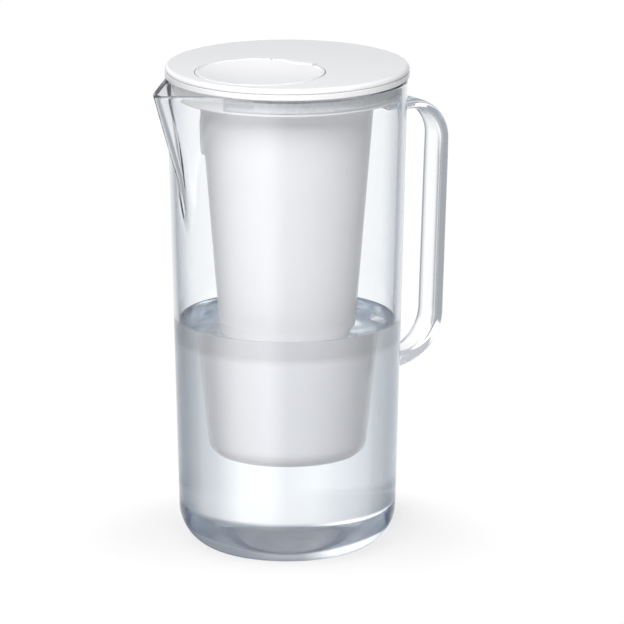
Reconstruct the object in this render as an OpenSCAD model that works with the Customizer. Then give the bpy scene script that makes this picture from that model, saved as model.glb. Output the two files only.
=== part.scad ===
// Water filter pitcher with a flip lid: a clear jug with a spout and a band handle, a white hopper
// hung in its mouth, a filter cartridge standing in the hopper, and a round lid with a dished flap.
// Millimetres, +Z up. The origin is the centre of the jug's foot, the spout points along -X and the
// handle along +X.

/* [Jug] */
// Height of the jug's rim above the table
rim_z = 252.7; // [250:0.1:256]
// Outer radius the leaning wall would have at table level
wall_r0 = 56.6; // [56:0.1:57]
// Outward lean of the wall, in mm of radius for each mm of height
wall_lean = 0.0261; // [0.024:0.001:0.028]
// Thickness of the jug's wall
wall_t = 2.8; // [2.4:0.1:3]
// Thickness of the jug's floor
floor_t = 5.5; // [4:0.5:7]
// Radius of the rounded corner between foot and wall
foot_corner_r = 23; // [20:1:24]

/* [Spout] */
// Distance from the jug's axis to the centre of the spout's rounded tip
spout_reach = 73; // [71:0.5:75.5]
// Outer radius of the spout's tip
spout_tip_r = 8.5; // [7.5:0.5:9]
// How far below the rim the spout dies into the wall
spout_drop = 64; // [55:1:75]

/* [Handle] */
// Width of the handle's band
handle_w = 20.5; // [18:0.5:23]
// Thickness of the band along the upright bar
handle_t = 6.4; // [5.5:0.1:7.5]
// Distance from the jug's axis to the bar at its top
bar_x = 92.5; // [90:0.5:96]
// Height of the upper arm's centreline
arm_z = 230; // [226:1:233]
// Height of the lower arm's centreline
lower_arm_z = 93.5; // [90:0.5:98]

/* [Hopper] */
// Outer radius of the hopper's flange and of the lid
flange_r = 64; // [63.6:0.1:66]
// Thickness of the flange
flange_t = 3.1; // [2.6:0.1:3.4]
// Height of the collar's lower edge
collar_z = 243.4; // [242:0.2:244.4]
// Outer radius of the bucket under the collar
bucket_r = 45.8; // [44:0.2:47]
// Inward taper of the bucket, in mm of radius for each mm of height
bucket_taper = 0.082; // [0.078:0.001:0.085]
// Height of the bucket's underside
bucket_z = 50; // [48:1:54]
// Thickness of the bucket's wall
bucket_t = 2.2; // [1.8:0.1:2.4]

/* [Lid] */
// Height of the lid's flat top
lid_top_z = 259; // [258.9:0.1:259.2]
// Turn of the lid about the jug's axis, which brings the flap towards one side of the spout
lid_turn = 23.3; // [0:0.1:40]

/* [Flap] */
// Radius of the flap
flap_r = 33.8; // [33.4:0.1:34]
// Distance from the lid's centre to the flap's centre
flap_offset = 24.4; // [24:0.1:24.6]
// Depth of the flap's dish
dish_depth = 4.6; // [3:0.1:4.8]

/* [Cartridge] */
// Height of the cartridge's shell
shell_h = 90; // [80:1:92]
// Thickness of the cartridge's wall
shell_t = 1.5; // [1.2:0.1:1.8]
// Height of the carbon bed
carbon_h = 38; // [30:1:44]

/* [Hidden] */
$fn = 120;
hull_fn = 32;
over = 1;

// Jug
foot_r = wall_r0 + wall_lean * foot_corner_r - foot_corner_r;
inner_corner_r = foot_corner_r - wall_t;
inner_corner_z = floor_t + inner_corner_r;
rim_edge = 0.8;
spout_lip = 2.7;
spout_root_x = 47.7;
spout_root_r = 13.5;
spout_wall_t = wall_t - 0.2;
spout_floor_rise = 4;

// Handle
handle_bend_r = 20;
lower_bend_r = 24.5;
bar_lean = 0.038;
bar_low_x = bar_x - bar_lean * (arm_z - handle_bend_r - lower_arm_z - lower_bend_r);
upper_root_scale = 0.82;
lower_root_scale = 1.5;
root_gap = 0.05;
section_steps = 5;
bend_steps = 9;

// Hopper
rim_gap = 0.2;
flange_z = rim_z + rim_gap;
collar_r = 59.5;
collar_t = 2.2;
collar_bore_r = collar_r - collar_t;
shoulder_t = 2.2;
bucket_corner_r = 9;
outlet_d = 4;
outlet_ring_r = 9;
outlet_count = 6;
rest_rib_h = 3.6;
rest_rib_t = 2;
rest_rib_in = 14;
rest_rib_out = 25;
seal_z = collar_z + 1.5;
seal_h = 6.6;
seal_groove = 0.6;
seal_rib = 0.45;
seal_rib_h = 1.5;
seal_rib_inset = 0.7;
seal_face = 0.1;
seal_half_gap = 25.6;
seal_play = 0.1;

// Lid
cover_z = flange_z + flange_t + 0.2;
cover_edge = 2.2;
liner_t = 2;
liner_z = cover_z - 0.1 - liner_t;
skirt_r = 56.2;
skirt_t = 2;
skirt_z = 247;
gasket_z = 249.6;
gasket_h = 2.4;
gasket_groove = 0.8;
gasket_lip = 0.75;

// Flap and its hinge, in the lid's own frame, whose x axis runs from the flap to the hinge
flap_gap = 0.5;
ledge_r = 31.4;
rim_w = 1.8;
rim_t = 1.9;
rim_top_z = lid_top_z + 0.3;
dish_t = 1.6;
dish_r = flap_r - rim_w;
dish_sphere_r = (dish_r * dish_r + dish_depth * dish_depth) / (2 * dish_depth);
dish_rim_z = rim_top_z - 0.5;
barrel_r = 2;
barrel_half = 12.9;
hinge_x = 31.6 - flap_offset;
hinge_z = rim_top_z - barrel_r - 0.15;
pin_r = 1;
pin_play = 0.05;
pin_half = 17.5;
notch_gap = 0.5;
boss_half = 18.6;
boss_drop = 1.3;
boss_w = 3;
flap_relief = 2.4;
relief_slant = 38;
flap_seal_in = 31.7;
flap_seal_out = 33.3;
flap_seal_cut = 3.2;
nick_w = 13;
nick_d = 1.1;
nick_depth = 1.2;
flap_cut_w = 8;
flap_cut_low = cover_z - 6;
flap_cut_h = 12;

// Cartridge
base_z = bucket_z + bucket_t + rest_rib_h + 0.2;
base_h = 6;
base_floor_t = 2;
base_step = 0.8;
base_wall_t = 2.5;
grille_d = 2.6;
grille_pitch = 7;
grille_ring_holes = 5;
shell_z = base_z + base_h;
shell_play = 1;
cap_z = shell_z + shell_h;
cap_flange_h = 4;
cap_dome_h = 7;
cap_wall = 1.5;
cap_slots = 12;
cap_slot_in = 11;
cap_slot_w = 1.6;
cap_step = 3;
cap_slope = 6;
cap_play = 0.6;
tab_eye_d = 4;
tab_eye_drop = 4.5;
felt_t = 2;
mesh_t = 0.6;
tab_h = 9;
tab_w = 14;
tab_t = 2.4;
seal_ring_h = 2;
seal_ring_in = 1;
seal_ring_out = 0.45;
seal_ring_rise = 1;

function jug_r(z) = wall_r0 + wall_lean * z;
function bucket_out(z) = bucket_r - bucket_taper * (collar_z - z);
function bucket_in(z) = bucket_out(z) - bucket_t;
function shell_r(z) = bucket_in(z) - shell_play;
function shell_in(z) = shell_r(z) - shell_t;
function arc(cx, cz, r, a0, a1, n) =
    [for (i = [0 : n]) let (a = a0 + (a1 - a0) * i / n) [cx + r * cos(a), cz + r * sin(a)]];

module ring(r_in, r_out, z, h) {
    translate([0, 0, z])
        rotate_extrude()
            translate([r_in, 0])
                square([r_out - r_in, h]);
}

// A frustum between two heights whose radius follows the hopper's taper
module tapered(z0, z1, r0, r1) {
    translate([0, 0, z0])
        cylinder(h = z1 - z0, r1 = r0, r2 = r1);
}

// Places a child that is modelled in the lid's own frame
module in_lid() {
    rotate([0, 0, lid_turn])
        children();
}

module at_flap() {
    translate([-flap_offset, 0, 0])
        children();
}

// Jug

module jug_outside() {
    rotate_extrude()
        polygon(concat(
            [[0, 0]],
            arc(foot_r, foot_corner_r, foot_corner_r, -90, 0, 10),
            [[jug_r(rim_z) - 0.02, rim_z - rim_edge],
             [jug_r(rim_z) - rim_edge, rim_z],
             [0, rim_z]]));
}

module jug_cavity() {
    rotate_extrude()
        polygon(concat(
            [[0, floor_t]],
            arc(jug_r(inner_corner_z) - wall_t - inner_corner_r, inner_corner_z, inner_corner_r, -90, 0, 10),
            [[jug_r(rim_z) - wall_t, rim_z - rim_edge],
             [jug_r(rim_z) - wall_t + rim_edge / 2, rim_z + over],
             [0, rim_z + over]]));
}

// The spout as a closed wedge: its rim is tangent to the tip and to a circle inside the wall
module spout_wedge(rim_circle, tip_r, root_r, root_z, top) {
    hull() {
        translate([0, 0, rim_z - spout_lip])
            cylinder(h = spout_lip + top, r = rim_circle, $fn = hull_fn * 2);
        translate([-spout_reach, 0, rim_z - spout_lip])
            cylinder(h = spout_lip + top, r = tip_r, $fn = hull_fn);
        translate([-spout_root_x, 0, root_z])
            cylinder(h = 1, r = root_r, $fn = hull_fn);
    }
}

module jug_body() {
    color([0.82, 0.87, 0.9, 0.4])
        difference() {
            union() {
                jug_outside();
                spout_wedge(jug_r(rim_z) - 1.2, spout_tip_r, spout_root_r, rim_z - spout_drop, 0);
            }
            jug_cavity();
            spout_wedge(jug_r(rim_z) - wall_t - 1, spout_tip_r - spout_wall_t,
                spout_root_r - spout_wall_t, rim_z - spout_drop + spout_floor_rise, over);
        }
}

// The handle's centreline in the XZ plane, from the upper root round to the lower one
handle_path = concat(
    [[jug_r(arm_z) - 2, arm_z + 1], [66, arm_z + 0.4]],
    arc(bar_x - handle_bend_r, arm_z - handle_bend_r, handle_bend_r, 90, 2, bend_steps),
    arc(bar_low_x - lower_bend_r, lower_arm_z + lower_bend_r, lower_bend_r, 2, -78, bend_steps),
    [[jug_r(lower_arm_z) + 3, lower_arm_z - 0.6], [jug_r(lower_arm_z) - 2, lower_arm_z - 1.6]]);

// How thick the band is at point i of the path: thinner at the upper root, flared at the lower one
function band_scale(i, n) =
    i < 3 ? upper_root_scale
    : i > n - 7 ? 1 + (lower_root_scale - 1) * (i - n + 7) / 6
    : i < 12 ? upper_root_scale + (1 - upper_root_scale) * (i - 3) / 9
    : 1;

function path_turn(p, i) =
    let (a = p[max(i - 1, 0)], b = p[min(i + 1, len(p) - 1)])
        atan2(b[1] - a[1], b[0] - a[0]);

// One rounded end of the band's section, as [across, out]
function band_section(t) = concat(
    arc(handle_w / 2 - t / 2, 0, t / 2, -90, 90, section_steps),
    arc(-handle_w / 2 + t / 2, 0, t / 2, 90, 270, section_steps));

module handle_band() {
    n = len(handle_path);
    m = 2 * (section_steps + 1);
    points = [for (i = [0 : n - 1])
        let (t = handle_t * band_scale(i, n), turn = path_turn(handle_path, i))
            for (q = band_section(t))
                [handle_path[i][0] - q[1] * sin(turn), q[0], handle_path[i][1] + q[1] * cos(turn)]];
    sides = [for (i = [0 : n - 2], j = [0 : m - 1])
        let (a = i * m + j, b = i * m + (j + 1) % m)
            for (f = [[a, a + m, b], [b, a + m, b + m]]) f];
    first_end = [for (j = [0 : m - 1]) j];
    last_end = [for (j = [0 : m - 1]) n * m - 1 - j];
    polyhedron(points, concat([first_end, last_end], sides));
}

module jug_handle() {
    color([0.82, 0.87, 0.9, 0.5])
        difference() {
            handle_band();
            cylinder(h = rim_z, r1 = jug_r(0) + root_gap, r2 = jug_r(rim_z) + root_gap);
        }
}

// Hopper

module hopper_wall() {
    corner_z = bucket_z + bucket_corner_r;
    rotate_extrude()
        polygon(concat(
            [[0, bucket_z]],
            arc(bucket_out(corner_z) - bucket_corner_r, corner_z, bucket_corner_r, -90, -5, 8),
            [[bucket_r, collar_z],
             [collar_r - 0.6, collar_z],
             [collar_r, collar_z + 0.6],
             [collar_r, flange_z],
             [flange_r - 0.4, flange_z],
             [flange_r, flange_z + 0.4],
             [flange_r, flange_z + flange_t - 0.3],
             [flange_r - 0.3, flange_z + flange_t],
             [collar_bore_r, flange_z + flange_t],
             [collar_bore_r, collar_z + shoulder_t + 1],
             [collar_bore_r - 1, collar_z + shoulder_t],
             [bucket_in(collar_z), collar_z + shoulder_t - 0.8]],
            arc(bucket_in(corner_z) - bucket_corner_r + bucket_t, corner_z,
                bucket_corner_r - bucket_t, -5, -90, 8),
            [[0, bucket_z + bucket_t]]));
}

// A ring that leaves the spout's side open
module seal_band(r_in, r_out, z, h) {
    translate([0, 0, z])
        rotate([0, 0, seal_half_gap - 180])
            rotate_extrude(angle = 360 - 2 * seal_half_gap)
                translate([r_in, 0])
                    square([r_out - r_in, h]);
}

module hopper_body() {
    color("white") {
        difference() {
            hopper_wall();
            seal_band(collar_r - seal_groove, collar_r + over, seal_z, seal_h);
            for (i = [0 : outlet_count - 1])
                rotate([0, 0, i * 360 / outlet_count])
                    translate([outlet_ring_r, 0, bucket_z - over])
                        cylinder(h = bucket_t + 2 * over, d = outlet_d);
            translate([0, 0, bucket_z - over])
                cylinder(h = bucket_t + 2 * over, d = outlet_d);
        }
        for (i = [0 : outlet_count - 1])
            rotate([0, 0, (i + 0.5) * 360 / outlet_count])
                translate([rest_rib_in, -rest_rib_t / 2, bucket_z + bucket_t - 0.3])
                    cube([rest_rib_out - rest_rib_in - 2, rest_rib_t, rest_rib_h + 0.3]);
    }
}

module hopper_seal() {
    face_r = collar_r + seal_face;
    rib_r = face_r + seal_rib;
    color("gainsboro")
        union() {
            seal_band(collar_r - seal_groove, face_r, seal_z + seal_play, seal_h - 2 * seal_play);
            seal_band(face_r - 0.2, rib_r, seal_z + seal_rib_inset, seal_rib_h);
            seal_band(face_r - 0.2, rib_r, seal_z + seal_h - seal_rib_inset - seal_rib_h, seal_rib_h);
        }
}

// Cartridge, from the base up

module grille_hole(r, turn) {
    rotate([0, 0, turn])
        translate([r, 0, base_z - over])
            cylinder(h = base_floor_t + 2 * over, d = grille_d);
}

module cartridge_base() {
    r0 = shell_r(base_z) - base_step;
    color("whitesmoke")
        difference() {
            tapered(base_z, shell_z, r0, shell_r(shell_z));
            tapered(base_z + base_floor_t, shell_z + over, r0 - base_wall_t, shell_in(shell_z));
            grille_hole(0, 0);
            for (k = [1 : 2])
                for (i = [0 : grille_ring_holes * k - 1])
                    grille_hole(grille_pitch * k, i * 360 / (grille_ring_holes * k));
        }
}

module cartridge_shell() {
    color("whitesmoke")
        difference() {
            tapered(shell_z, cap_z, shell_r(shell_z), shell_r(cap_z));
            tapered(shell_z - over, cap_z + over, shell_in(shell_z - over), shell_in(cap_z + over));
        }
}

module cartridge_cap() {
    r = bucket_in(cap_z) - cap_play;
    dome_z = cap_z + cap_flange_h;
    color("gainsboro")
        difference() {
            union() {
                translate([0, 0, cap_z])
                    cylinder(h = cap_flange_h, r = r);
                translate([0, 0, dome_z])
                    cylinder(h = cap_dome_h, r1 = r - cap_step, r2 = r - cap_step - cap_slope);
                translate([-tab_w / 2, -tab_t / 2, dome_z + cap_dome_h - over])
                    cube([tab_w, tab_t, tab_h + over]);
            }
            translate([0, 0, cap_z - over])
                cylinder(h = over + cap_flange_h - cap_wall, r = shell_in(cap_z));
            translate([0, 0, dome_z - cap_wall - over])
                cylinder(h = over + cap_dome_h, r1 = r - cap_step - cap_wall,
                    r2 = r - cap_step - cap_slope - cap_wall);
            for (i = [0 : cap_slots - 1])
                rotate([0, 0, (i + 0.5) * 360 / cap_slots])
                    translate([cap_slot_in, -cap_slot_w / 2, dome_z])
                        cube([r - cap_slope - cap_slot_in, cap_slot_w, cap_dome_h + over]);
            translate([0, tab_t, dome_z + cap_dome_h + tab_h - tab_eye_drop])
                rotate([90, 0, 0])
                    cylinder(h = 2 * tab_t, d = tab_eye_d);
            ring(r - seal_ring_in, r + over, cap_z + seal_ring_rise, seal_ring_h);
        }
}

module cartridge_seal() {
    r = bucket_in(cap_z) - cap_play;
    color("dimgray")
        ring(r - seal_ring_in, r + seal_ring_out, cap_z + seal_ring_rise, seal_ring_h);
}

module bed(z0, z1) {
    tapered(z0, z1, shell_in(z0) - bed_play, shell_in(z1) - bed_play);
}

bed_play = 0.1;
outlet_felt_z = shell_z + 0.2;
resin_z = outlet_felt_z + felt_t;
inlet_mesh_z = cap_z - mesh_t;
carbon_z = inlet_mesh_z - carbon_h;
middle_felt_z = carbon_z - felt_t;

module outlet_felt() {
    color("lightgray")
        bed(outlet_felt_z, resin_z);
}

module resin_bed() {
    color("goldenrod")
        bed(resin_z, middle_felt_z);
}

module middle_felt() {
    color("lightgray")
        bed(middle_felt_z, carbon_z);
}

module carbon_bed() {
    color([0.12, 0.12, 0.13])
        bed(carbon_z, inlet_mesh_z);
}

module inlet_mesh() {
    color("silver")
        bed(inlet_mesh_z, cap_z);
}

// Lid

module hinge_pocket(half, width, z, h) {
    translate([hinge_x - width, -half, z])
        cube([2 * width, 2 * half, h]);
}

module lid_cover() {
    top = lid_top_z;
    color("white")
        in_lid()
            difference() {
                union() {
                    rotate_extrude()
                        polygon(concat(
                            [[0, cover_z], [flange_r - 0.4, cover_z], [flange_r, cover_z + 0.4]],
                            arc(flange_r - cover_edge, top - cover_edge, cover_edge, 0, 90, 6),
                            [[0, top]]));
                    difference() {
                        hinge_pocket(boss_half, boss_w, cover_z - boss_drop, boss_drop + 0.5);
                        hinge_pocket(barrel_half + notch_gap, boss_w + over, 0, lid_top_z);
                    }
                }
                at_flap()
                    translate([0, 0, cover_z - boss_drop - over])
                        cylinder(h = 8, r = flap_r + flap_gap);
                translate([hinge_x - 4, -barrel_half - notch_gap, cover_z - 2])
                    cube([4 + barrel_r + notch_gap, 2 * (barrel_half + notch_gap), 6]);
                translate([-flap_offset - flap_r - nick_d - flap_gap, -nick_w / 2, top - nick_depth])
                    cube([5, nick_w, nick_depth + over]);
                hinge_bore(pin_r);
            }
}

// The pin's bore, through the lid's bosses or through the flap's barrel
module hinge_bore(r) {
    translate([hinge_x, pin_half, hinge_z])
        rotate([90, 0, 0])
            cylinder(h = 2 * pin_half, r = r);
}

module lid_liner() {
    color("whitesmoke")
        in_lid()
            difference() {
                union() {
                    translate([0, 0, liner_z])
                        cylinder(h = liner_t, r = skirt_r);
                    ring(skirt_r - skirt_t, skirt_r, skirt_z, liner_z - skirt_z + over);
                }
                ring(skirt_r - gasket_groove, skirt_r + over, gasket_z, gasket_h);
                intersection() {
                    at_flap()
                        translate([0, 0, liner_z - over])
                            cylinder(h = liner_t + 2 * over, r = ledge_r);
                    translate([0, 0, liner_z - over])
                        cylinder(h = liner_t + 2 * over, r = skirt_r - skirt_t);
                }
                hinge_pocket(boss_half + 0.4, boss_w + 0.5, liner_z - over, liner_t + 2 * over);
            }
}

module lid_gasket() {
    r = skirt_r - gasket_groove + 0.05;
    color("gainsboro")
        rotate_extrude()
            polygon([[r, gasket_z + 0.1], [skirt_r, gasket_z + 0.1], [skirt_r + gasket_lip, gasket_z + 1.5],
                [skirt_r + gasket_lip, gasket_z + 1.9], [skirt_r, gasket_z + gasket_h - 0.1],
                [r, gasket_z + gasket_h - 0.1]]);
}

module hinge_pin() {
    color("silver")
        in_lid()
            hinge_bore(pin_r);
}

// Flap

module flap_profile() {
    sag = asin(dish_r / dish_sphere_r);
    polygon(concat(
        arc(0, dish_rim_z - dish_depth + dish_sphere_r, dish_sphere_r, -90, -90 + sag, 12),
        [[dish_r + 0.3, rim_top_z]],
        arc(flap_r - 0.5, rim_top_z - 0.5, 0.5, 90, 0, 3),
        [[flap_r, rim_top_z - rim_t],
         [dish_r - 0.4, rim_top_z - rim_t]],
        arc(0, dish_rim_z - dish_depth + dish_sphere_r, dish_sphere_r + dish_t, -90 + sag - 2, -90, 12)));
}

module flap_disc() {
    reach = flap_r + over;
    color("white")
        in_lid()
            difference() {
                union() {
                    difference() {
                        at_flap()
                            rotate_extrude()
                                flap_profile();
                        translate([hinge_x, -reach, flap_cut_low])
                            cube([flap_cut_w, 2 * reach, flap_cut_h]);
                        for (side = [0, 1])
                            mirror([0, side, 0]) {
                                translate([hinge_x - flap_relief, barrel_half, flap_cut_low])
                                    cube([flap_cut_w, reach, flap_cut_h]);
                                translate([hinge_x - flap_relief, barrel_half, rim_top_z])
                                    rotate([0, relief_slant, 0])
                                        translate([0, 0, -flap_cut_w])
                                            cube([flap_cut_w, reach, flap_cut_w]);
                            }
                    }
                    translate([hinge_x, barrel_half, hinge_z])
                        rotate([90, 0, 0])
                            cylinder(h = 2 * barrel_half, r = barrel_r);
                }
                hinge_bore(pin_r + pin_play);
            }
}

module flap_seal() {
    color("gainsboro")
        in_lid()
            difference() {
                at_flap()
                    ring(flap_seal_in, flap_seal_out, cover_z + 0.1, rim_top_z - rim_t - cover_z - 0.1);
                translate([hinge_x - flap_seal_cut, -flap_r, cover_z - over])
                    cube([10, 2 * flap_r, 6]);
            }
}

jug_body();
jug_handle();
hopper_body();
hopper_seal();
cartridge_shell();
cartridge_cap();
cartridge_base();
cartridge_seal();
inlet_mesh();
carbon_bed();
middle_felt();
resin_bed();
outlet_felt();
lid_cover();
lid_liner();
lid_gasket();
hinge_pin();
flap_disc();
flap_seal();
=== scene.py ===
import math

import bpy
import numpy as np
from bpy.props import FloatProperty, FloatVectorProperty, PointerProperty
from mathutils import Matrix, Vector


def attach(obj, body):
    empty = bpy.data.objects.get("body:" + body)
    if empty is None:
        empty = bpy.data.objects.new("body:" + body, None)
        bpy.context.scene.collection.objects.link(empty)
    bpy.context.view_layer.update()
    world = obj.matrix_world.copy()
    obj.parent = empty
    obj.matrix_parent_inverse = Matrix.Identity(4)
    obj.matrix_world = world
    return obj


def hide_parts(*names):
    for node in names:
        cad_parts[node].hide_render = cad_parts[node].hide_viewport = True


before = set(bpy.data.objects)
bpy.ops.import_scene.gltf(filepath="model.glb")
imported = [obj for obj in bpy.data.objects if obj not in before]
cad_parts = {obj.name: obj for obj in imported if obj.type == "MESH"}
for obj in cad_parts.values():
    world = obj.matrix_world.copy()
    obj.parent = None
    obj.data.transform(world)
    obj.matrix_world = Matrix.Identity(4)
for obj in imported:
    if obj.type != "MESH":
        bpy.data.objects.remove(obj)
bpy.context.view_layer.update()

bl_info = {
    "name": "Water filter pitcher",
    "version": (1, 0, 0),
    "blender": (4, 5, 0),
    "location": "View3D > Sidebar > Pitcher",
    "description": "Clear jug with a white filter hopper, water and a round lid with a dished flap",
    "category": "Add Mesh",
}

MM = 0.001

# The photograph's frame in pixels, the camera's sensor in millimetres, the camera's bearing in
# degrees about +Z from looking along +Y, and the point it looks at, as millimetres to the right of
# the jug's axis and above the table
IMAGE_SIZE = 624
SENSOR_WIDTH = 36.0
CAMERA_BEARING = -31.5
CAMERA_AIM = (12.95, 125.7)

# The jug in millimetres, as the CAD model has it: a wall that leans outwards, a thick floor, and a
# foot with a round corner
RIM_Z = 252.7
WALL_R0 = 56.6
WALL_LEAN = 0.0261
WALL_T = 2.8
FLOOR_T = 5.5
FOOT_CORNER_R = 23.0
INNER_CORNER_R = 20.2

# The spout in millimetres. Its tip is rounder and a little shorter than the CAD model's, its walls
# are thinner than the jug's, and its circles stand just inside the wall's
SPOUT_REACH = 70.0
SPOUT_TIP_R = 9.8
SPOUT_DROP = 64.0
SPOUT_LIP = 2.7
SPOUT_ROOT_X = 52.2
SPOUT_ROOT_R = 9.0
SPOUT_WALL_T = 2.6
SPOUT_SINK = 1.2
SPOUT_SINK_INSIDE = 1.0
INNER_ROOT_RISE = 1.0
# How hollow its flanks are, and how much wider than at the rim the blend is at its root
FLANK_POWER = 2.2
ROOT_BLEND = 1.7
# How fast it gives way to the wall behind its circle, in millimetres a radian, and below its root, in
# millimetres a millimetre, and the height over which it does
FADE_ROUND = 30.0
FADE_BELOW = 0.33
FADE_DEPTH = 30.0
# The angle each side of the spout, in degrees, where the jug's points stand close together
SPOUT_SIDE = 60

# The handle in millimetres: the heights of its roots, the two corners of its line as distance from
# the axis and height, the radii of its bends there, and how deep its ends go into the wall
HANDLE_UPPER_Z = 231.0
HANDLE_LOWER_Z = 91.9
HANDLE_CORNERS = ((93.2, 230.1), (88.14, 96.85))
HANDLE_BENDS = (20.0, 24.5)
HANDLE_SINK = 1.6
# Its section's thickness, width and power, and the thickness's scale at shares of its length
HANDLE_T = 6.6
HANDLE_W = 18.4
HANDLE_FULLNESS = 3.4
HANDLE_SCALE = ((0, 0.1, 0.3, 0.84, 0.93, 1), (0.82, 0.82, 1, 1, 1.15, 1.5))

# The water in millimetres: how far from the wall the meniscus has sunk to about a third, the lengths
# of its two crossed swells and of the bend in the first, and where a painted shade darkens its side,
# below its level
MENISCUS_REACH = 1.3
SWELL_X = 39.3
SWELL_Y = 33.1
SWELL_BEND = 57.1
PAINTED_SHADE_FULL = 8.0
PAINTED_SHADE_END = 13.5

# Edges of clear pieces that turn by more than this many degrees stay sharp
SHARP_ANGLE = 35

# The floor: how far from the axis its shadow starts to fade and is gone, in millimetres, how far it
# lies under the foot, and the light added so that the open floor is as white as the backdrop
SHADOW_FULL = 65.0
SHADOW_END = 135.0
FLOOR_DROP = 0.3
FLOOR_LIFT = 0.19
FLOOR_WHITE = 1.02


def linear(code):
    """An sRGB colour written as #rrggbb, as linear red, green and blue."""
    parts = [int(code[i:i + 2], 16) / 255 for i in (1, 3, 5)]
    return tuple(c / 12.92 if c <= 0.04045 else ((c + 0.055) / 1.055) ** 2.4 for c in parts)


def colour(name, description, code):
    """A colour property whose default is an sRGB hex colour."""
    return FloatVectorProperty(name=name, description=description, subtype="COLOR", size=3,
                               min=0, max=1, default=linear(code))


def length(name, description, millimetres):
    """A length property, kept in metres."""
    return FloatProperty(name=name, description=description, unit="LENGTH",
                         default=millimetres * MM)


class PitcherSizes(bpy.types.PropertyGroup):
    """Sizes that a user would change."""
    water_level: length("Water level", "Height of the water above the table", 123)
    water_overlap: length("Water overlap", "How far the water reaches into the wall", 0.03)
    meniscus: length("Meniscus", "How far the water climbs the wall", 0.8)
    ripple: length("Ripple", "Height of the low waves on the water", 0.4)
    spout_blend: length("Spout blend", "Width over which the spout flows into the wall", 3)
    rim_round: length("Rim round", "Height of the rounding on the jug's rim", 1.3)
    lip_dip: length("Lip dip", "How far the spout's lip bends down", 1.6)


class PitcherColours(bpy.types.PropertyGroup):
    """Colours that a user would change."""
    jug: colour("Jug", "Clear plastic of jug and handle", "#FBFCFD")
    # The next two colours are painted shade: the clear plastic is tinted greyer where it is seen at a
    # slant and grey at its outline
    painted_slant_shade: colour("Deep", "Clear plastic where light crosses it at a slant", "#DADDE4")
    outline: colour("Outline", "Clear plastic where light only grazes it", "#8F939C")
    water: colour("Water", "Water in the jug", "#F8FAFC")
    white: colour("White", "White plastic of hopper, lid and flap", "#F2F2F4")
    silicone: colour("Silicone", "Seals", "#DDDFE2")
    cartridge: colour("Cartridge", "Cartridge housing", "#ECECEA")
    dark_seal: colour("Dark seal", "Ring between cartridge and hopper", "#3A3B3D")
    floor: colour("Floor", "Floor under the pitcher", "#F4F4F4")


class PitcherLight(bpy.types.PropertyGroup):
    """Stage values that a user would change."""
    key: FloatProperty(name="Key", description="Power of the soft lamp in front", unit="POWER",
                       default=11.0)
    top: FloatProperty(name="Top", description="Power of the soft lamp above", unit="POWER",
                       default=3.1)
    ambient: FloatProperty(name="Ambient", description="Strength of the room's light", default=0.27)
    card: FloatProperty(name="Card", description="Strength of the white card behind", default=1.12)
    softbox: FloatProperty(name="Softbox", description="Strength of the softbox mirrored in front",
                           default=1.8)
    panel: FloatProperty(
        name="Panel", description="Brightness of the panel above left that the lid's gloss shows",
        default=2.0)
    distance: FloatProperty(name="Camera distance", description="From the camera to the pitcher",
                            unit="LENGTH", default=4.5)
    focal: FloatProperty(name="Focal", description="Focal length, in image pixels", default=8560.0)
    elevation: FloatProperty(name="Elevation", description="Camera's height angle",
                             subtype="ANGLE", default=math.radians(13.67))


# Surfaces

def grid_faces(rows, cols):
    """Four-sided faces of a grid of points that closes round its columns, where point (i, j) has
    number i * cols + j."""
    i, j = np.meshgrid(np.arange(rows - 1), np.arange(cols), indexing="ij")
    after = (j + 1) % cols
    quads = np.stack([i * cols + j, i * cols + after, (i + 1) * cols + after, (i + 1) * cols + j], -1)
    return quads.reshape(-1, 4)


def fan_faces(pole, first, cols):
    """Triangles from one pole point to the ring of cols points that starts at first."""
    j = np.arange(cols)
    return np.stack([np.full(cols, pole), first + j, first + (j + 1) % cols], -1)


def signed_volume(points, faces):
    """Sum over faces of the tetrahedra from the origin: positive where faces point outwards."""
    total = 0.0
    for quads in faces:
        a = points[quads[:, 0]]
        for k in range(1, quads.shape[1] - 1):
            b, c = points[quads[:, k]], points[quads[:, k + 1]]
            total += np.einsum("ij,ij->", a, np.cross(b, c)) / 6
    return total


def make_piece(name, points, faces, material, body):
    """A closed mesh object from points in millimetres and a list of face arrays. Its faces are
    turned round if they enclose a negative volume, so that they point outwards."""
    if signed_volume(points, faces) < 0:
        faces = [f[:, ::-1] for f in faces]
    mesh = bpy.data.meshes.new(name)
    mesh.from_pydata(points * MM, [], [row for f in faces for row in f.tolist()])
    mesh.validate()
    mesh.shade_smooth()
    mesh.materials.append(material)
    piece = bpy.data.objects.new(name, mesh)
    bpy.context.scene.collection.objects.link(piece)
    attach(piece, body)
    return piece


def pole_shell(rings, low, high):
    """Points and faces of a closed shell: rings is (rows, cols, 3), and the poles low and high
    close its first and last ring."""
    rows, cols = rings.shape[:2]
    points = np.concatenate([rings.reshape(-1, 3), [low], [high]])
    count = rows * cols
    faces = [grid_faces(rows, cols),
             fan_faces(count, 0, cols)[:, ::-1],
             fan_faces(count + 1, count - cols, cols)]
    return points, faces


def arc(centre, radius, start, end, count):
    """Points on a circle about centre, from angle start to angle end in degrees."""
    a = np.radians(np.linspace(start, end, count))
    return np.stack([centre[0] + radius * np.cos(a), centre[1] + radius * np.sin(a)], -1)


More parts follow.
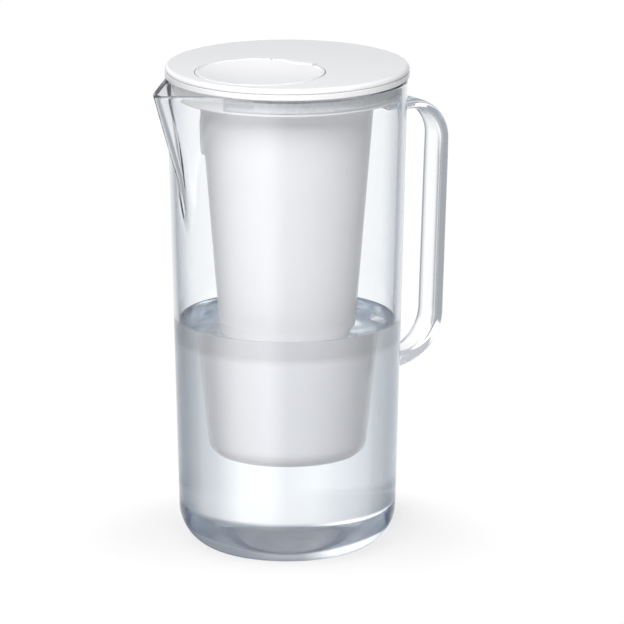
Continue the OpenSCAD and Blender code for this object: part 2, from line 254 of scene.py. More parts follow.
def rounded(corners, radii, steps):
    """A line through corners whose inner corners are arcs of so many steps: each arc's centre lies on
    the corner's bisector, radius / sin(half angle) away, so that the arc touches both legs."""
    corners = np.asarray(corners, float)
    out = [corners[:1]]
    for before, corner, after, radius in zip(corners, corners[1:], corners[2:], radii):
        p = (before - corner) / np.linalg.norm(before - corner)
        q = (after - corner) / np.linalg.norm(after - corner)
        half = math.acos(np.clip(p @ q, -1, 1)) / 2
        centre = corner + (p + q) / np.linalg.norm(p + q) * radius / math.sin(half)
        a = corner + p * radius / math.tan(half) - centre
        b = corner + q * radius / math.tan(half) - centre
        turn = math.atan2(a[0] * b[1] - a[1] * b[0], a @ b)
        angles = math.atan2(a[1], a[0]) + turn * np.linspace(0, 1, steps + 1)
        out.append(centre + radius * np.stack([np.cos(angles), np.sin(angles)], -1))
    out.append(corners[-1:])
    return np.concatenate(out)


# Jug

def wall_radius(z):
    """The leaning wall's outer radius: a cone that widens upwards."""
    return WALL_R0 + WALL_LEAN * z


def wedge_radius(angle, z, rim_circle, tip_r, root_r, root_z):
    """How far the spout reaches from the jug's axis at an angle from the spout's direction. A level
    section through it is the hull of two circles, and both shrink towards one root circle, the near
    one faster, so that the flanks are hollow. The line that touches both has its normal at the angle
    whose cosine is the difference of their radii over the distance of their centres. The section is
    the far circle before that line and the near circle after it. Behind the near circle and below
    the root the reach falls off evenly, so that the wall takes over with no step."""
    t = np.clip((z - root_z) / (RIM_Z - SPOUT_LIP - root_z), 0, 1)
    waist = t ** FLANK_POWER
    near, far = SPOUT_ROOT_X * (1 - waist), SPOUT_REACH * t + SPOUT_ROOT_X * (1 - t)
    near_r, far_r = rim_circle * waist + root_r * (1 - waist), tip_r * t + root_r * (1 - t)
    normal = np.arccos(np.clip((near_r - far_r) / np.maximum(far - near, 1e-6), -1, 1))

    def circle(centre, radius):
        chord = np.clip(radius ** 2 - (centre * np.sin(angle)) ** 2, 0, None)
        return centre * np.cos(angle) + np.sqrt(chord)

    def touch(centre, radius):
        return np.arctan2(radius * np.sin(normal), centre + radius * np.cos(normal))

    line = (near * np.cos(normal) + near_r) / np.cos(np.clip(angle - normal, -1.2, 1.2))
    last = touch(near, near_r)
    behind = circle(near, near_r) - FADE_ROUND * np.maximum(angle - last, 0)
    reach = np.where(angle < touch(far, far_r), circle(far, far_r),
                     np.where(angle < last, line, behind))
    return reach - FADE_BELOW * np.maximum(root_z - z, 0)


def soft_max(a, b, width):
    """The larger of a and b, with a round blend where they differ by less than width."""
    h = np.clip(0.5 + 0.5 * (a - b) / width, 0, 1)
    return b + (a - b) * h + width * h * (1 - h)


def jug_columns():
    """Angles round the jug from the spout's direction, close together on both sides of the spout."""
    side = math.radians(SPOUT_SIDE)
    near = np.linspace(-side, side, 220)
    rest = np.linspace(side, 2 * math.pi - side, 182)[1:-1]
    return np.concatenate([near, rest])


def jug_points(blend, rim_round, dip):
    """Rings of the jug from the foot's middle up the outside, over the rim and down the inside to
    the floor's middle. Each radius is the soft maximum of the wall's cone and the spout's wedge. The
    rim is half an ellipse across the wall, and it dips at the spout by the square of how far the
    spout stands out there."""
    turn = jug_columns()
    from_spout = np.abs((turn + math.pi) % (2 * math.pi) - math.pi)
    inner_z = FLOOR_T + INNER_CORNER_R
    foot_r = wall_radius(FOOT_CORNER_R) - FOOT_CORNER_R
    inner_foot_r = wall_radius(inner_z) - WALL_T - INNER_CORNER_R
    low_z = RIM_Z - SPOUT_DROP
    rim_r = wall_radius(RIM_Z)
    past_wall = wedge_radius(from_spout, RIM_Z, rim_r, SPOUT_TIP_R, SPOUT_ROOT_R, low_z) - rim_r
    share = np.clip(past_wall / (SPOUT_REACH + SPOUT_TIP_R - rim_r), 0, 1)
    edge_z = RIM_Z - rim_round - dip * share ** 2

    def ring(r, z):
        r = np.broadcast_to(r, turn.shape)
        z = np.broadcast_to(z, turn.shape)
        return np.stack([-r * np.cos(turn), -r * np.sin(turn), z], -1)

    def width(z):
        return blend * np.interp(z, [low_z, RIM_Z], [ROOT_BLEND, 1.0])

    def outside(z):
        wedge = wedge_radius(from_spout, z, rim_r - SPOUT_SINK, SPOUT_TIP_R, SPOUT_ROOT_R, low_z)
        return soft_max(wall_radius(z), wedge, width(z))

    def inside(z):
        wedge = wedge_radius(from_spout, z, rim_r - WALL_T - SPOUT_SINK_INSIDE,
                             SPOUT_TIP_R - SPOUT_WALL_T, SPOUT_ROOT_R - SPOUT_WALL_T,
                             low_z + INNER_ROOT_RISE)
        return soft_max(wall_radius(z) - WALL_T, wedge, width(z))

    plain = np.linspace(FOOT_CORNER_R, low_z - FADE_DEPTH, 8)
    start_z = low_z - FADE_DEPTH + 2
    shaped = start_z + np.linspace(0, 1, 72)[:, None] * (edge_z - start_z)
    rows = [ring(r, 0) for r in (foot_r * 0.5, foot_r - 0.3)]
    rows += [ring(r, z) for r, z in arc((foot_r, FOOT_CORNER_R), FOOT_CORNER_R, -90, 0, 20)[:-1]]
    rows += [ring(wall_radius(z), z) for z in plain]
    rows += [ring(outside(z), z) for z in shaped]
    out, inn = outside(edge_z), inside(edge_z)
    for a in np.radians(np.linspace(0, 180, 13)[1:-1]):
        rows.append(ring((out + inn) / 2 + (out - inn) / 2 * math.cos(a),
                         edge_z + rim_round * math.sin(a)))
    rows += [ring(inside(z), z) for z in shaped[::-1]]
    inner_plain = np.linspace(inner_z, low_z - FADE_DEPTH, 8)[::-1]
    rows += [ring(wall_radius(z) - WALL_T, z) for z in inner_plain[:-1]]
    rows += [ring(r, z) for r, z in arc((inner_foot_r, inner_z), INNER_CORNER_R, 0, -90, 20)]
    rows += [ring(r, FLOOR_T) for r in (inner_foot_r - 0.3, inner_foot_r * 0.5)]
    return np.stack(rows), (0, 0, 0), (0, 0, FLOOR_T)


def handle_rings():
    """A band swept along a line from the upper root round to the lower one. At each point its section
    is a rounded oblong in the plane of the line's normal and the Y axis, |x/a|^n + |y/b|^n = 1, and
    its thickness grows towards the lower root."""
    corners = [(wall_radius(HANDLE_UPPER_Z) - HANDLE_SINK, HANDLE_UPPER_Z), *HANDLE_CORNERS,
               (wall_radius(HANDLE_LOWER_Z) - HANDLE_SINK, HANDLE_LOWER_Z)]
    bare = rounded(corners, HANDLE_BENDS, 40)
    along = np.concatenate([[0], np.cumsum(np.linalg.norm(np.diff(bare, axis=0), axis=1))])
    s = np.linspace(0, along[-1], 130)
    x, z = np.interp(s, along, bare[:, 0]), np.interp(s, along, bare[:, 1])
    scale = np.interp(s / along[-1], *HANDLE_SCALE)
    tangent = np.stack([np.gradient(x), np.gradient(z)], -1)
    tangent /= np.linalg.norm(tangent, axis=1, keepdims=True)
    out = np.stack([-tangent[:, 1], tangent[:, 0]], -1)
    thick = HANDLE_T * scale / 2
    a = np.linspace(0, 2 * math.pi, 97)[:-1]
    full = 2 / HANDLE_FULLNESS
    across = HANDLE_W / 2 * (np.sign(np.cos(a)) * np.abs(np.cos(a)) ** full)[None, :]
    depth = thick[:, None] * (np.sign(np.sin(a)) * np.abs(np.sin(a)) ** full)[None, :]
    rings = np.stack([x[:, None] + out[:, :1] * depth, np.broadcast_to(across, depth.shape),
                      z[:, None] + out[:, 1:] * depth], -1)
    return rings, (x[0], 0, z[0]), (x[-1], 0, z[-1])


# Water

def water_rings(level, over, climb, ripple):
    """Rings of the water from the floor's middle up the jug's inner wall and over the surface to its
    middle. It reaches into the wall by over, so that no air shows between them. The surface rises by
    climb * exp(-distance from the wall / reach), its meniscus, and carries low waves of two crossed
    swells, sin(x + a bend in y) * sin(y), that die out at the wall and round the hopper."""
    corner_z = FLOOR_T + INNER_CORNER_R
    foot_r = wall_radius(corner_z) - WALL_T - INNER_CORNER_R
    wall = wall_radius(level) - WALL_T
    low = arc((foot_r, corner_z), INNER_CORNER_R + over, -90, 0, 20)
    heights = np.concatenate([np.linspace(corner_z, level - 2, 8)[1:], [level, level + climb]])
    side = np.stack([wall_radius(heights) - WALL_T + over, heights], -1)
    inwards = np.concatenate([[0], np.geomspace(0.05, 2.5, 16), np.linspace(3.2, wall * 0.6, 32)])
    top = np.stack([wall - inwards, level + climb * np.exp(-inwards / MENISCUS_REACH)], -1)
    profile = np.concatenate([[[foot_r * 0.5, FLOOR_T - over]], low, side, top,
                              [[wall * 0.4, level]]])
    turn = np.linspace(0, 2 * math.pi, 257)[:-1]
    rings = np.stack([profile[:, :1] * np.cos(turn), profile[:, :1] * np.sin(turn),
                      np.repeat(profile[:, 1:], len(turn), 1)], -1)
    x, y = (2 * math.pi * rings[..., i] for i in (0, 1))
    wave = np.sin(x / SWELL_X + 1.4 * np.sin(y / SWELL_BEND)) * np.sin(y / SWELL_Y + 0.8)
    # No waves within 45% of the wall's radius, where the hopper stands, nor within 4 mm of the wall
    calm = np.clip((profile[:, :1] - wall * 0.45) / (wall * 0.2), 0, 1)
    calm = calm * np.clip((wall - profile[:, :1] - 4) / 8, 0, 1)
    rings[..., 2] += ripple * wave * calm * (profile[:, 1:] > level - 1)
    return rings, (0, 0, FLOOR_T - over), (0, 0, level)


# Materials

def add_node(tree, kind, props=None, values=None, links=None):
    """Adds a node, sets its own properties and its inputs' values, and links outputs to its
    inputs."""
    made = tree.nodes.new(kind)
    for key, value in (props or {}).items():
        setattr(made, key, value)
    for key, value in (values or {}).items():
        made.inputs[key].default_value = value
    for key, socket in (links or {}).items():
        tree.links.new(socket, made.inputs[key])
    return made


def new_material(name):
    """An empty material with an output node."""
    material = bpy.data.materials.new(name)
    material.use_nodes = True
    tree = material.node_tree
    tree.nodes.clear()
    return material, tree, tree.nodes.new("ShaderNodeOutputMaterial")


def lamp_window(tree, output, shader, tint, top_tint=None):
    """Lets lamps and soft light straight through a clear shader, as a thin clear wall does, so that
    what stands behind it is lit: rays for shadows and for diffuse light see a plain tint. Faces that
    look up can have a darker tint."""
    path = add_node(tree, "ShaderNodeLightPath")
    either = add_node(tree, "ShaderNodeMath", {"operation": "MAXIMUM"},
                      links={0: path.outputs["Is Shadow Ray"], 1: path.outputs["Is Diffuse Ray"]})
    clear = add_node(tree, "ShaderNodeBsdfTransparent", values={"Color": (*tint, 1)})
    if top_tint:
        shape = add_node(tree, "ShaderNodeNewGeometry")
        parts = add_node(tree, "ShaderNodeSeparateXYZ", links={0: shape.outputs["True Normal"]})
        up = add_node(tree, "ShaderNodeMapRange", values={"From Min": 0.6, "From Max": 0.9},
                      links={"Value": parts.outputs["Z"]})
        dim = add_node(tree, "ShaderNodeBsdfTransparent", values={"Color": (*top_tint, 1)})
        clear = add_node(tree, "ShaderNodeMixShader",
                         links={0: up.outputs[0], 1: clear.outputs[0], 2: dim.outputs[0]})
    mix = add_node(tree, "ShaderNodeMixShader",
                   links={0: either.outputs[0], 1: shader.outputs[0], 2: clear.outputs[0]})
    tree.links.new(mix.outputs[0], output.inputs["Surface"])


def clear_plastic(tint, painted_slant_shade, outline):
    """Clear copolyester from a polished injection mould. The eye sees sharp white and grey streaks in it,
    bent a little by faint upright waves where the melt flowed. Its colour is greyer where a wall is seen
    at a slant and grey at its outline. Light does go further through the plastic there, but most of this
    grey is painted shade that stands for the dark edges of clear walls."""
    material, tree, output = new_material("moulded_clear_copolyester")
    coords = add_node(tree, "ShaderNodeTexCoord")
    # Flow waves 16.7 mm wide and 111 mm high
    stretched = add_node(tree, "ShaderNodeMapping",
                         values={"Scale": (1 / (16.7 * MM), 1 / (16.7 * MM), 1 / (111 * MM))},
                         links={0: coords.outputs["Object"]})
    flow = add_node(tree, "ShaderNodeTexNoise", values={"Scale": 1, "Detail": 2},
                    links={"Vector": stretched.outputs[0]})
    bump = add_node(tree, "ShaderNodeBump", values={"Strength": 0.12, "Distance": 0.06 * MM},
                    links={"Height": flow.outputs[0]})
    edge = add_node(tree, "ShaderNodeLayerWeight", values={"Blend": 0.5})
    depth = add_node(tree, "ShaderNodeValToRGB", links={0: edge.outputs["Facing"]})
    # Painted shade by slant: plain up to a medium slant, greyer beyond, and grey where the surface is
    # seen edge on
    stops = depth.color_ramp.elements
    stops.new(0.8)
    for stop, (at, shade) in zip(stops, ((0.48, tint), (0.76, painted_slant_shade), (0.97, outline))):
        stop.position, stop.color = at, (*shade, 1)
    shader = add_node(tree, "ShaderNodeBsdfPrincipled",
                      values={"Roughness": 0.0, "IOR": 1.5, "Transmission Weight": 1},
                      links={"Base Color": depth.outputs["Color"], "Normal": bump.outputs[0]})
    lamp_window(tree, output, shader, linear("#FCFCFC"))
    return material


def water_material(tint, level):
    """Still clear water: no roughness, refraction of 1.333, a trace of blue in its depth. Its surface
    turns part of the light away, so that the hopper is darker just under it. Its upright side carries
    painted shade: grey from its level down to 8 mm below, fading out by 13.5 mm, for the grey band seen
    there through the water's side."""
    material, tree, output = new_material("still_water")
    coords = add_node(tree, "ShaderNodeTexCoord")
    place = add_node(tree, "ShaderNodeSeparateXYZ", links={0: coords.outputs["Object"]})
    shape = add_node(tree, "ShaderNodeNewGeometry")
    face = add_node(tree, "ShaderNodeSeparateXYZ", links={0: shape.outputs["True Normal"]})
    # Painted shade: upright faces of the water turn grey from its level down to 8 mm below, fading out by
    # 13.5 mm
    band = add_node(tree, "ShaderNodeMapRange", {"interpolation_type": "SMOOTHSTEP"},
                    {"From Min": level - PAINTED_SHADE_END * MM, "From Max": level - PAINTED_SHADE_FULL * MM},
                    {"Value": place.outputs["Z"]})
    upright = add_node(tree, "ShaderNodeMapRange", values={"From Min": 0.5, "From Max": 0.3},
                       links={"Value": face.outputs["Z"]})
    painted_shade_share = add_node(tree, "ShaderNodeMath", {"operation": "MULTIPLY"},
                      links={0: band.outputs[0], 1: upright.outputs[0]})
    # The second colour is the painted shade's grey
    body = add_node(tree, "ShaderNodeMix", {"data_type": "RGBA"})
    body.inputs["A"].default_value = (*tint, 1)
    body.inputs["B"].default_value = (*linear("#D4D6D8"), 1)
    tree.links.new(painted_shade_share.outputs[0], body.inputs["Factor"])
    shader = add_node(tree, "ShaderNodeBsdfPrincipled",
                      values={"Roughness": 0.0, "IOR": 1.333, "Transmission Weight": 1},
                      links={"Base Color": body.outputs["Result"]})
    lamp_window(tree, output, shader, linear("#FDFDFE"), linear("#E7E8EA"))
    return material


def white_plastic(tint):
    """White polypropylene from a polished injection mould: an even white with a soft gloss. The eye
    sees its highlights broken by a fine orange peel of 1.1 mm, and the white drifting a little over
    three centimetres, as the wall's thickness does."""
    material, tree, output = new_material("moulded_white_polypropylene")
    coords = add_node(tree, "ShaderNodeTexCoord")
    drift = add_node(tree, "ShaderNodeTexNoise", values={"Scale": 1 / (28.6 * MM), "Detail": 3},
                     links={"Vector": coords.outputs["Object"]})
    shade = add_node(tree, "ShaderNodeMapRange", values={"To Min": 0.985, "To Max": 1.015},
                     links={"Value": drift.outputs[0]})
    white = add_node(tree, "ShaderNodeVectorMath", {"operation": "SCALE"}, {0: tint},
                     {"Scale": shade.outputs[0]})
    peel = add_node(tree, "ShaderNodeTexNoise", values={"Scale": 1 / (1.11 * MM), "Detail": 2},
                    links={"Vector": coords.outputs["Object"]})
    bump = add_node(tree, "ShaderNodeBump", values={"Strength": 0.06, "Distance": 0.1 * MM},
                    links={"Height": peel.outputs[0]})
    shader = add_node(tree, "ShaderNodeBsdfPrincipled",
                      values={"Roughness": 0.25, "IOR": 1.49},
                      links={"Base Color": white.outputs[0], "Normal": bump.outputs[0]})
    tree.links.new(shader.outputs[0], output.inputs["Surface"])
    return material


def matt_material(name, tint, roughness, grain_mm, depth_mm):
    """A dull material with an even grain of the given size and depth in millimetres, whose colour
    and relief change together: rubber, felt, woven screen or granules."""
    material, tree, output = new_material(name)
    coords = add_node(tree, "ShaderNodeTexCoord")
    grain = add_node(tree, "ShaderNodeTexNoise", values={"Scale": 1 / (grain_mm * MM), "Detail": 3},
                     links={"Vector": coords.outputs["Object"]})
    shade = add_node(tree, "ShaderNodeMapRange", values={"To Min": 0.75, "To Max": 1.1},
                     links={"Value": grain.outputs[0]})
    mixed = add_node(tree, "ShaderNodeVectorMath", {"operation": "SCALE"}, {0: tint},
                     {"Scale": shade.outputs[0]})
    bump = add_node(tree, "ShaderNodeBump", values={"Strength": 0.8, "Distance": depth_mm * MM},
                    links={"Height": grain.outputs[0]})
    shader = add_node(tree, "ShaderNodeBsdfPrincipled", values={"Roughness": roughness},
                      links={"Base Color": mixed.outputs[0], "Normal": bump.outputs[0]})
    tree.links.new(shader.outputs[0], output.inputs["Surface"])
    return material


def shared(name, make, *settings):
    """The material of that name, made when it is first asked for."""
    return bpy.data.materials.get(name) or make(*settings)


def milky_silicone(tint):
    """Moulded silicone rubber: milky and satin, so that its ribs show as soft lines with no glint."""
    return matt_material("milky_silicone", tint, 0.4, 2, 0.01)


def ground_steel():
    """Ground stainless steel: a plain grey metal whose reflections are wide and soft."""
    material, tree, output = new_material("ground_stainless_steel")
    shader = add_node(tree, "ShaderNodeBsdfPrincipled",
                      values={"Base Color": (*linear("#CBCBCD"), 1), "Metallic": 1,
                              "Roughness": 0.3})
    tree.links.new(shader.outputs[0], output.inputs["Surface"])
    return material


def dress(node, material):
    """Gives a CAD node its material."""
    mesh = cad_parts[node].data
    mesh.materials.clear()
    mesh.materials.append(material)


class PITCHER_OT_jug(bpy.types.Operator):
    """Clear jug with its spout and band handle, as one solid"""
    bl_idname = "pitcher.jug"
    bl_label = "Jug"

    def execute(self, context):
        sizes, colours = context.scene.pitcher_sizes, context.scene.pitcher_colours
        # The jug's plastic carries painted shade, greyer at a slant and at its outline
        material = clear_plastic(tuple(colours.jug), tuple(colours.painted_slant_shade),
                                 tuple(colours.outline))
        points, faces = pole_shell(*jug_points(sizes.spout_blend / MM, sizes.rim_round / MM,
                                               sizes.lip_dip / MM))
        jug = make_piece("clear_jug", points, faces, material, "jug")
        points, faces = pole_shell(*handle_rings())
        band = make_piece("handle_band", points, faces, material, "jug")
        join = jug.modifiers.new("join_handle", "BOOLEAN")
        join.operation, join.solver, join.object = "UNION", "MANIFOLD", band
        seen = jug.evaluated_get(context.evaluated_depsgraph_get())
        joined = bpy.data.meshes.new_from_object(seen)
        jug.modifiers.clear()
        jug.data = joined
        joined.name = "clear_jug"
        joined.set_sharp_from_angle(angle=math.radians(SHARP_ANGLE))
        bpy.data.objects.remove(band)
        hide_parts("jug_body", "jug_handle")
        return {"FINISHED"}


class PITCHER_OT_water(bpy.types.Operator):
    """Water standing in the jug, with a meniscus at the wall and low waves"""
    bl_idname = "pitcher.water"
    bl_label = "Water"

    def execute(self, context):
        sizes, colours = context.scene.pitcher_sizes, context.scene.pitcher_colours
        level, over, climb, ripple = (v / MM for v in (sizes.water_level, sizes.water_overlap,
                                                       sizes.meniscus, sizes.ripple))
        points, faces = pole_shell(*water_rings(level, over, climb, ripple))
        material = water_material(tuple(colours.water), sizes.water_level)
        water = make_piece("water_fill", points, faces, material, "jug")
        water.data.set_sharp_from_angle(angle=math.radians(SHARP_ANGLE))
        return {"FINISHED"}


class PITCHER_OT_hopper(bpy.types.Operator):
    """White filter hopper with its collar and ribbed seal"""
    bl_idname = "pitcher.hopper"
    bl_label = "Hopper"

    def execute(self, context):
        colours = context.scene.pitcher_colours
        dress("hopper_body", shared("moulded_white_polypropylene", white_plastic,
                                    tuple(colours.white)))
        dress("hopper_seal", shared("milky_silicone", milky_silicone, tuple(colours.silicone)))
        return {"FINISHED"}


class PITCHER_OT_lid(bpy.types.Operator):
    """Round lid with its liner, gasket, hinge pin and dished flap"""
    bl_idname = "pitcher.lid"
    bl_label = "Lid and flap"

    def execute(self, context):
        colours = context.scene.pitcher_colours
        white = shared("moulded_white_polypropylene", white_plastic, tuple(colours.white))
        soft = shared("milky_silicone", milky_silicone, tuple(colours.silicone))
        for node in ("lid_cover", "lid_liner", "flap_disc"):
            dress(node, white)
        for node in ("lid_gasket", "flap_seal"):
            dress(node, soft)
        dress("hinge_pin", ground_steel())
        return {"FINISHED"}


class PITCHER_OT_cartridge(bpy.types.Operator):
    """Filter cartridge with its housing, felts, screen and beds"""
    bl_idname = "pitcher.cartridge"
    bl_label = "Cartridge"

    def execute(self, context):
        colours = context.scene.pitcher_colours
        # Moulded polypropylene from a spark-eroded mould: white with an even satin grain
        housing = matt_material("satin_polypropylene", tuple(colours.cartridge), 0.5, 1.5, 0.02)
        for node in ("cartridge_shell", "cartridge_cap", "cartridge_base"):
            dress(node, housing)
        # Moulded nitrile rubber: near black, with a dull sheen along its round
        dress("cartridge_seal", matt_material("black_rubber", tuple(colours.dark_seal), 0.6, 1, 0.02))
        # Woven polyester screen: a pale cloth whose threads show as a fine, even grain
        dress("inlet_mesh", matt_material("woven_screen", linear("#C9CACC"), 0.5, 0.4, 0.1))
        # Granular activated carbon: black grains of about a millimetre, rough as coal
        dress("carbon_bed", matt_material("granular_carbon", linear("#26262A"), 0.7, 1.2, 0.4))
        # Ion exchange resin: amber beads of under a millimetre, with some gloss
        dress("resin_bed", matt_material("resin_beads", linear("#C89A4E"), 0.4, 0.8, 0.3))
        # Pressed polyester felt: off-white and fibrous, with no gloss
        felt = matt_material("pressed_felt", linear("#DEDDD8"), 0.9, 0.3, 0.1)
        dress("middle_felt", felt)
        dress("outlet_felt", felt)
        return {"FINISHED"}


# Stage

def studio_world(ambient, card, softbox, panel):
    """A studio by direction. The camera sees plain white, and soft light is even. What glass and
    gloss show is a white card behind the object as the camera sees it, grey sides, a softbox at the
    front left, a panel above left, a grey ceiling and a darker ground. Reflections straight off a
    surface also show the shade beside the foot."""
    world = bpy.data.worlds.new("studio")
    world.use_nodes = True
    tree = world.node_tree
    tree.nodes.clear()
    bearing = math.radians(CAMERA_BEARING)
    ahead = (-math.sin(bearing), math.cos(bearing), 0)
    right = (math.cos(bearing), math.sin(bearing), 0)
    coords = add_node(tree, "ShaderNodeTexCoord")
    across, forward, height = (
        add_node(tree, "ShaderNodeVectorMath", {"operation": "DOT_PRODUCT"}, {1: axis},
                 {0: coords.outputs["Generated"]}).outputs["Value"]
        for axis in (right, ahead, (0, 0, 1)))
    angle = add_node(tree, "ShaderNodeMath", {"operation": "ARCTAN2"}, links={0: across, 1: forward})
    turn = add_node(tree, "ShaderNodeMapRange",
                    values={"From Min": -math.pi, "From Max": math.pi}, links={"Value": angle.outputs[0]})

    def ring(stops):
        """A Background whose brightness follows the bearing from straight ahead, in degrees. What is
        darker than white is a little blue."""
        ramp = add_node(tree, "ShaderNodeValToRGB", links={0: turn.outputs[0]})
        points = ramp.color_ramp.elements
        while len(points) < len(stops):
            points.new(0.5)
        for point, (degrees, value) in zip(points, stops):
            cool = 0.1 * max(0, 1 - value)
            point.position = (degrees + 180) / 360
            point.color = (value * (1 - cool), value, value * (1 + cool), 1)
        return add_node(tree, "ShaderNodeBackground", links={"Color": ramp.outputs[0]})

    # Round the object at eye level: behind the camera, the softbox, the grey left side, the card,
    # which reaches a little further to the right, and the grey right side
    shown = ring([(-180, 0.5), (-160, softbox), (-125, softbox), (-100, 0.5), (-99, 0.4), (-42, 0.41),
                  (-36, 0.48), (-31, 0.57), (-27, 0.72), (-21, 0.83), (-14, 0.95), (-7, card),
                  (11, card), (18, 0.95), (24, 0.83), (30, 0.72), (34, 0.57), (39, 0.48), (45, 0.4),
                  (100, 0.42), (180, 0.5)])
    # Higher up: the panel that the lid's flat top shows, and greyer walls, darkest to the right
    above = ring([(-180, 0.6), (-130, 0.6), (-80, 1.0), (-50, panel), (-16, panel), (-5, 0.62),
                  (5, 0.58), (14, 0.42), (60, 0.4), (180, 0.6)])
    ceiling, ground, shade = (
        add_node(tree, "ShaderNodeBackground", values={"Color": (*linear(code), 1)})
        for code in ("#C8CACE", "#A8AEB6", "#7C8188"))
    # Rays that left through a clear surface count as glossy too, so they are taken off again
    path = add_node(tree, "ShaderNodeLightPath")
    off_surface = add_node(tree, "ShaderNodeMath", {"operation": "SUBTRACT", "use_clamp": True},
                           links={0: path.outputs["Is Glossy Ray"],
                                  1: path.outputs["Is Transmission Ray"]})
    # Each layer takes over between two heights, which are sines of the angle above the horizon
    for layer, start, end, most in ((above, 0.02, 0.14, None), (ceiling, 0.28, 0.46, None),
                                    (ground, -0.5, -0.62, None), (shade, -0.31, -0.42, off_surface)):
        links = {"Value": height}
        if most:
            links["To Max"] = most.outputs[0]
        share = add_node(tree, "ShaderNodeMapRange", {"interpolation_type": "SMOOTHSTEP"},
                         {"From Min": start, "From Max": end}, links)
        shown = add_node(tree, "ShaderNodeMixShader",
                         links={0: share.outputs[0], 1: shown.outputs[0], 2: layer.outputs[0]})
    sharp = add_node(tree, "ShaderNodeMath", {"operation": "MAXIMUM"},
                     links={0: path.outputs["Is Glossy Ray"], 1: path.outputs["Is Transmission Ray"]})
    even = add_node(tree, "ShaderNodeBackground",
                    values={"Color": (1, 1, 1, 1), "Strength": ambient})
    lit = add_node(tree, "ShaderNodeMixShader",
                   links={0: sharp.outputs[0], 1: even.outputs[0], 2: shown.outputs[0]})
    white = add_node(tree, "ShaderNodeBackground", values={"Color": (1, 1, 1, 1)})
    last = add_node(tree, "ShaderNodeMixShader",
                    links={0: path.outputs["Is Camera Ray"], 1: lit.outputs[0], 2: white.outputs[0]})
    output = tree.nodes.new("ShaderNodeOutputWorld")
    tree.links.new(last.outputs[0], output.inputs["Surface"])
    return world


def floor_material(tint):
    """Pale matt card. The camera sees the object's soft shadow on it near the foot, lifted so that
    the open floor is white, and plain white further out."""
    material, tree, output = new_material("pale_floor")
    coords = add_node(tree, "ShaderNodeTexCoord")
    away = add_node(tree, "ShaderNodeVectorMath", {"operation": "LENGTH"},
                    links={0: coords.outputs["Object"]})
    fade = add_node(tree, "ShaderNodeMapRange", {"interpolation_type": "SMOOTHSTEP"},
                    {"From Min": SHADOW_FULL * MM, "From Max": SHADOW_END * MM},
                    {"Value": away.outputs["Value"]})
    matt = add_node(tree, "ShaderNodeBsdfDiffuse", values={"Color": (*tint, 1)})
    lift = add_node(tree, "ShaderNodeEmission", values={"Strength": FLOOR_LIFT})
    near = add_node(tree, "ShaderNodeAddShader", links={0: matt.outputs[0], 1: lift.outputs[0]})
    white = add_node(tree, "ShaderNodeEmission", values={"Strength": FLOOR_WHITE})
    seen = add_node(tree, "ShaderNodeMixShader",
                    links={0: fade.outputs[0], 1: near.outputs[0], 2: white.outputs[0]})
    path = add_node(tree, "ShaderNodeLightPath")
    last = add_node(tree, "ShaderNodeMixShader",
                    links={0: path.outputs["Is Camera Ray"], 1: matt.outputs[0], 2: seen.outputs[0]})
    tree.links.new(last.outputs[0], output.inputs["Surface"])
    return material


def soft_lamp(name, place, aim, size, power):
    """A square area lamp at a place, turned to a point, that shows only in soft light."""
    data = bpy.data.lights.new(name, "AREA")
    data.shape, data.size, data.energy = "SQUARE", size, power
    lamp = bpy.data.objects.new(name, data)
    bpy.context.scene.collection.objects.link(lamp)
    lamp.location = place
    lamp.rotation_euler = (Vector(aim) - Vector(place)).to_track_quat("-Z", "Y").to_euler()
    lamp.visible_glossy = False
    lamp.visible_transmission = False
    return lamp


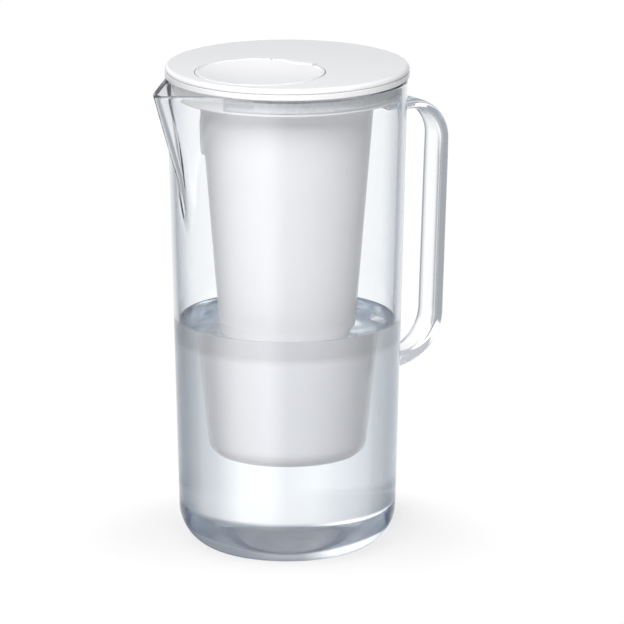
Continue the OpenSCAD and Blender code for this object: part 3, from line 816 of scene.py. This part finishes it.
class PITCHER_OT_stage(bpy.types.Operator):
    """Floor, lamps, studio and camera"""
    bl_idname = "pitcher.stage"
    bl_label = "Stage"

    def execute(self, context):
        scene = context.scene
        light, colours = scene.pitcher_light, scene.pitcher_colours
        mesh = bpy.data.meshes.new("floor")
        half, drop = 4.0, FLOOR_DROP * MM
        mesh.from_pydata([(-half, -half, -drop), (half, -half, -drop), (half, half, -drop),
                          (-half, half, -drop)], [], [(0, 1, 2, 3)])
        mesh.materials.append(floor_material(tuple(colours.floor)))
        floor = bpy.data.objects.new("floor", mesh)
        scene.collection.objects.link(floor)
        floor.visible_glossy = False
        floor.visible_transmission = False

        bearing = math.radians(CAMERA_BEARING)
        right = Vector((math.cos(bearing), math.sin(bearing), 0))
        toward = Vector((math.sin(bearing), -math.cos(bearing), 0))
        up = Vector((0, 0, 1))
        # Lamps round the object's middle, in metres: one in front and above, a little to the left,
        # and a wide one overhead
        middle = Vector((0, 0, 0.13))
        key_place = middle + toward * 0.85 - right * 0.12 + up * 0.85
        top_place = middle + toward * 0.2 + up * 1.3
        soft_lamp("key_softbox", key_place, middle, 0.6, light.key)
        soft_lamp("top_softbox", top_place, middle, 1.0, light.top)

        data = bpy.data.cameras.new("camera")
        data.sensor_width = SENSOR_WIDTH
        data.lens = light.focal * SENSOR_WIDTH / IMAGE_SIZE
        data.clip_end = 50
        camera = bpy.data.objects.new("camera", data)
        scene.collection.objects.link(camera)
        aim = (right * CAMERA_AIM[0] + up * CAMERA_AIM[1]) * MM
        back = toward * math.cos(light.elevation) + up * math.sin(light.elevation)
        camera.location = aim + back * light.distance
        camera.rotation_euler = (-back).to_track_quat("-Z", "Y").to_euler()
        scene.camera = camera
        scene.world = studio_world(light.ambient, light.card, light.softbox, light.panel)
        scene.view_settings.view_transform = "Standard"
        # Light that enters near the waterline at the jug's sides is reflected round and round inside the
        # wall down to the base, and needs many bounces to get out
        scene.cycles.max_bounces = 96
        scene.cycles.glossy_bounces = 64
        scene.cycles.transmission_bounces = 96
        return {"FINISHED"}


class PITCHER_PT_panel(bpy.types.Panel):
    """Buttons that build the pitcher"""
    bl_idname = "PITCHER_PT_panel"
    bl_label = "Water filter pitcher"
    bl_space_type = "VIEW_3D"
    bl_region_type = "UI"
    bl_category = "Pitcher"

    def draw(self, context):
        for operator in OPERATORS:
            self.layout.operator(operator.bl_idname)
        for group in (context.scene.pitcher_sizes, context.scene.pitcher_colours,
                      context.scene.pitcher_light):
            for name in group.__annotations__:
                self.layout.prop(group, name)


OPERATORS = (PITCHER_OT_stage, PITCHER_OT_jug, PITCHER_OT_water, PITCHER_OT_hopper, PITCHER_OT_lid,
             PITCHER_OT_cartridge)
CLASSES = (PitcherSizes, PitcherColours, PitcherLight, *OPERATORS, PITCHER_PT_panel)


def register():
    """Registers the classes and hangs the settings on the scene."""
    for cls in CLASSES:
        bpy.utils.register_class(cls)
    bpy.types.Scene.pitcher_sizes = PointerProperty(type=PitcherSizes)
    bpy.types.Scene.pitcher_colours = PointerProperty(type=PitcherColours)
    bpy.types.Scene.pitcher_light = PointerProperty(type=PitcherLight)


def unregister():
    """Takes off what register added."""
    del bpy.types.Scene.pitcher_sizes
    del bpy.types.Scene.pitcher_colours
    del bpy.types.Scene.pitcher_light
    for cls in reversed(CLASSES):
        bpy.utils.unregister_class(cls)


def main():
    """Registers the classes and runs every operator, which builds the stage and the pieces."""
    register()
    for operator in OPERATORS:
        group, name = operator.bl_idname.split(".")
        getattr(getattr(bpy.ops, group), name)()


if __name__ == "__main__":
    main()
